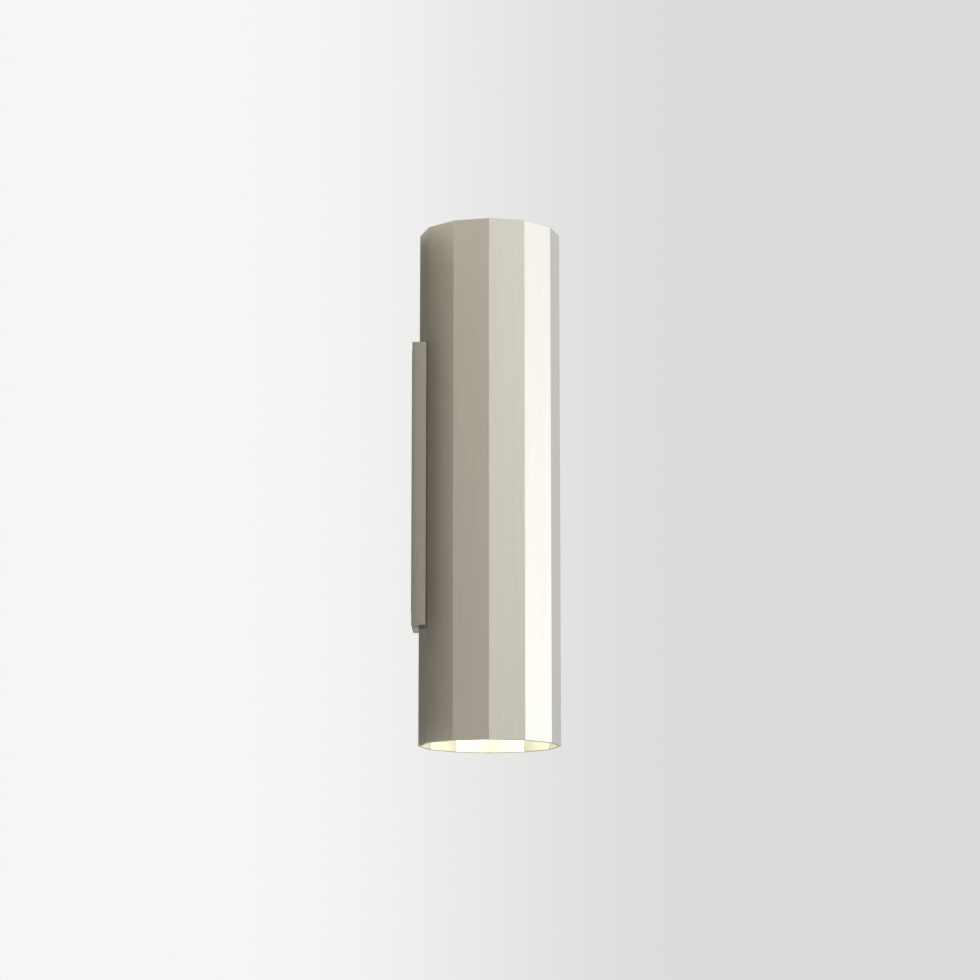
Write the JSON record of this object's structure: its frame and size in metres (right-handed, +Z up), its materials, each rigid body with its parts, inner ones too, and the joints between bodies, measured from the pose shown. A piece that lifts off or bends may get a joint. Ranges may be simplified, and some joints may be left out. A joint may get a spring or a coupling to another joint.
{
  "type": "wall light",
  "caption": "Up-and-down wall light: faceted metal tube open at both ends on a slim wall saddle, with twist-in lamps.",
  "frame": {"origin": "on the wall plane, at the centre of the wall bracket's back face", "axes": "+Z up along the tube, +Y into the wall, -Y out into the room, X sideways along the wall"},
  "size_m": [0.0814, 0.0855, 0.3],
  "materials": {
    "tube_metal": "warm nickel, brushed lengthways, satin",
    "saddle_metal": "warm nickel, brushed lengthways, satin",
    "bracket_steel": "zinc plated, matt",
    "carrier_steel": "zinc plated, matt",
    "screw_steel": "zinc plated, bright",
    "holder_ceramic": "unglazed white",
    "contact_bronze": "spring bronze, plain",
    "lamp_plastic": "white moulded",
    "pin_brass": "nickelled brass, satin",
    "lamp_cup": "white powder coat",
    "lamp_ring": "white moulded",
    "lamp_lens": "frosted",
    "board_plastic": "white solder mask",
    "chip_glow": "yellow phosphor",
    "block_plastic": "natural moulded",
    "sleeve_brass": "turned, plain",
    "bush_rubber": "black moulded",
    "lug_metal": "tinned",
    "wire_brown": "silicone sleeve",
    "wire_blue": "silicone sleeve",
    "wire_green": "silicone sleeve"
  },
  "bodies": {
    "light": {"block_screws": "screw_steel", "bracket_earth_screw": "sleeve_brass", "cable_bush": "bush_rubber", "clamp_screws": "screw_steel", "earth_lug": "lug_metal", "earth_screw": "screw_steel", "earth_washer": "screw_steel", "earth_wire": "wire_green", "faceted_tube": "tube_metal", "lock_screws": "screw_steel", "lower_carrier": "carrier_steel", "lower_contact_springs": "contact_bronze", "lower_holder_screws": "screw_steel", "lower_lampholder": "holder_ceramic", "lower_live_wire": "wire_brown", "lower_neutral_wire": "wire_blue", "press_nuts": "screw_steel", "saddle_screws": "screw_steel", "terminal_block": "block_plastic", "terminal_sleeves": "sleeve_brass", "upper_carrier": "carrier_steel", "upper_contact_springs": "contact_bronze", "upper_holder_screws": "screw_steel", "upper_lampholder": "holder_ceramic", "upper_live_wire": "wire_brown", "upper_neutral_wire": "wire_blue", "wall_bracket": "bracket_steel", "wall_saddle": "saddle_metal"},
    "upper_lamp": {"upper_lamp_base": "lamp_plastic", "upper_lamp_pins": "pin_brass", "upper_lamp_housing": "lamp_cup", "upper_lamp_bezel": "lamp_ring", "upper_lamp_lens": "lamp_lens", "upper_led_board": "board_plastic", "upper_led_chips": "chip_glow"},
    "lower_lamp": {"lower_lamp_base": "lamp_plastic", "lower_lamp_pins": "pin_brass", "lower_lamp_housing": "lamp_cup", "lower_lamp_bezel": "lamp_ring", "lower_lamp_lens": "lamp_lens", "lower_led_board": "board_plastic", "lower_led_chips": "chip_glow"}
  },
  "joints": [
    {"name": "upper_lamp_twist", "type": "hinge", "parent": "light", "child": "upper_lamp", "pos_m": [0, -0.04475, 0.0798], "axis": [0, 0, 1], "range_deg": [0, 25]},
    {"name": "lower_lamp_twist", "type": "hinge", "parent": "light", "child": "lower_lamp", "pos_m": [0, -0.04475, -0.0798], "axis": [0, 0, -1], "range_deg": [0, 25]}
  ]
}
